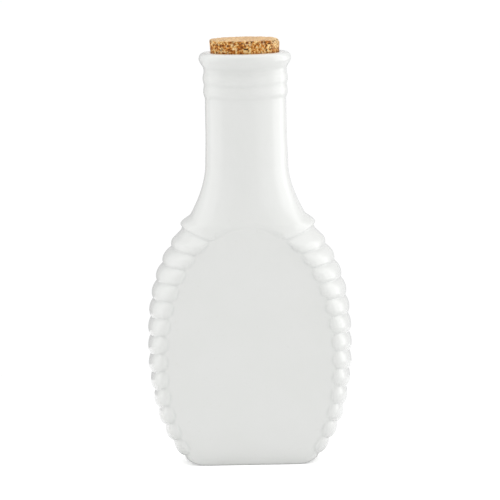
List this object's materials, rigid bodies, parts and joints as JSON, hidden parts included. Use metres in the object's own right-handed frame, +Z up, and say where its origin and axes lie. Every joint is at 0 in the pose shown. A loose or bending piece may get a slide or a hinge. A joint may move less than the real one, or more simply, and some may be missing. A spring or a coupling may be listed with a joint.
{
  "type": "salad dressing cruet",
  "caption": "Flattened oval glazed ceramic bottle with ribs wrapping round each side of a flat front panel, a round neck with a flared lip, and a tapered cork stopper",
  "frame": {"origin": "middle of the foot, on the surface that the bottle stands on", "axes": "+Z is up, along the neck; +X runs across the width, to the right seen from the front; the front panel faces -Y"},
  "size_m": [0.1004, 0.0562, 0.2073],
  "materials": {
    "glaze": "glossy off-white glaze",
    "cork": "pressed cork granules, dry and unvarnished"
  },
  "bodies": {
    "bottle": {"bottle": "glaze"},
    "cork": {"cork_stopper": "cork"}
  },
  "joints": [
    {"name": "cork_pull", "type": "slide", "parent": "bottle", "child": "cork", "axis": [0, 0, 1], "range_m": [0, 0.045]}
  ]
}
